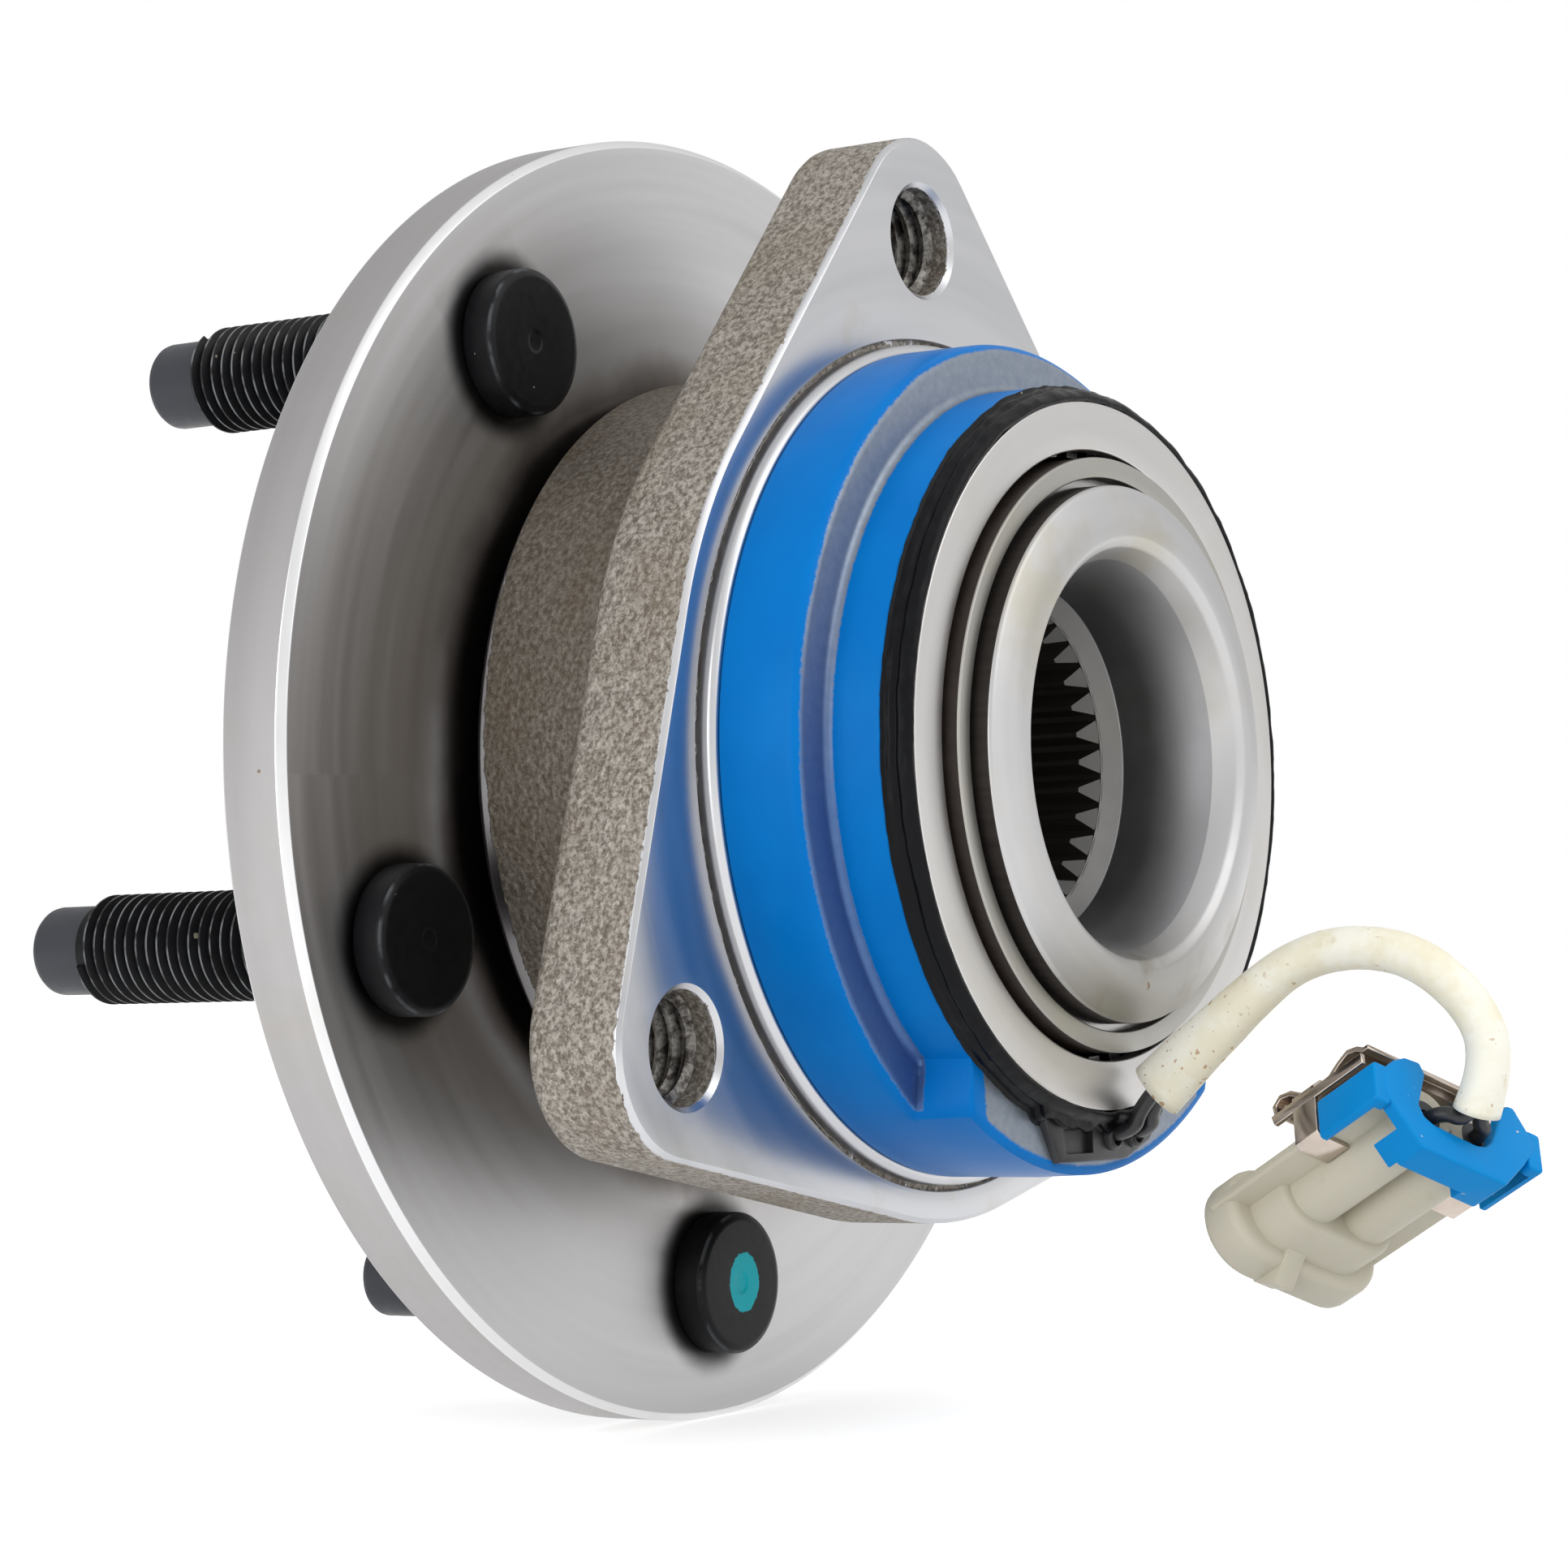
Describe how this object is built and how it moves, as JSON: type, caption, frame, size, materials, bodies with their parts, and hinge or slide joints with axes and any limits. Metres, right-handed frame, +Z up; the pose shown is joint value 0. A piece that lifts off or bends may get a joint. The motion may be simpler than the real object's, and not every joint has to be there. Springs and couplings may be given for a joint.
{
  "type": "wheel hub bearing",
  "caption": "Driven-wheel hub bearing unit: flanged splined hub with lug studs, turning in a three-lobed knuckle flange with a blue wheel-speed sensor drum and a short pigtail connector.",
  "frame": {"origin": "centre of the knuckle bolt circle, on the machined face that bolts to the knuckle", "axes": "Y is the axis that the wheel turns about, with the wheel on the +Y side and the axle shaft on -Y; Z is up, through the top bolt lobe"},
  "size_m": [0.1456, 0.1472, 0.1456],
  "materials": {
    "forged_steel": "forged skin shot-blasted, machined faces turned bright",
    "turned_steel": "turned bright steel with fine lay",
    "bright_steel": "ground bright steel",
    "ball_steel": "lapped bearing steel",
    "black_oxide": "black oxide over rolled thread",
    "blue_paint": "satin blue coat over drawn steel",
    "satin_plate": "satin plated steel",
    "black_potting": "black potting compound",
    "magnet_black": "bonded ferrite",
    "black_nylon": "glass-filled nylon",
    "cage_nylon": "natural nylon",
    "copper_wire": "enamelled copper winding",
    "wire_insulation": "black cross-linked insulation",
    "cream_sleeve": "cream flexible sleeve",
    "grey_nylon": "warm grey moulded nylon",
    "blue_nylon": "bright blue moulded nylon",
    "stainless_clip": "spring stainless strip",
    "tinned_brass": "tinned brass",
    "seal_rubber": "nitrile rubber"
  },
  "bodies": {
    "outer": {"outer_ring": "forged_steel", "outboard_seal_case": "bright_steel", "outboard_seal_lip": "seal_rubber", "sensor_cap": "blue_paint", "sensor_end_plate": "satin_plate", "sensor_potting": "black_potting", "sensor_magnet": "magnet_black", "sensor_bobbin": "black_nylon", "sensor_coil": "copper_wire", "pole_ring": "bright_steel", "terminal_block": "black_nylon", "sensor_wires": "wire_insulation", "wire_sleeve": "cream_sleeve", "connector_shell": "grey_nylon", "connector_lock": "blue_nylon", "connector_clip": "stainless_clip", "terminal_pins": "tinned_brass", "wire_seals": "seal_rubber"},
    "hub": {"hub_spindle": "turned_steel", "wheel_studs": "black_oxide", "inner_ring": "bright_steel", "tone_ring": "bright_steel", "outboard_slinger": "bright_steel"},
    "inboard_row": {"balls_inboard": "ball_steel", "cage_inboard": "cage_nylon"},
    "outboard_row": {"balls_outboard": "ball_steel", "cage_outboard": "cage_nylon"}
  },
  "joints": [
    {"name": "hub_spin", "type": "hinge", "parent": "outer", "child": "hub", "pos_m": [0, 0, 0], "axis": [0, 1, 0], "continuous": true},
    {"name": "inboard_row_spin", "type": "hinge", "parent": "outer", "child": "inboard_row", "pos_m": [0, 0, 0], "axis": [0, 1, 0], "continuous": true},
    {"name": "outboard_row_spin", "type": "hinge", "parent": "outer", "child": "outboard_row", "pos_m": [0, 0, 0], "axis": [0, 1, 0], "continuous": true}
  ],
  "couplings": [
    {"joint": "inboard_row_spin", "follows": "hub_spin", "ratio": 0.4347},
    {"joint": "outboard_row_spin", "follows": "hub_spin", "ratio": 0.4347}
  ]
}
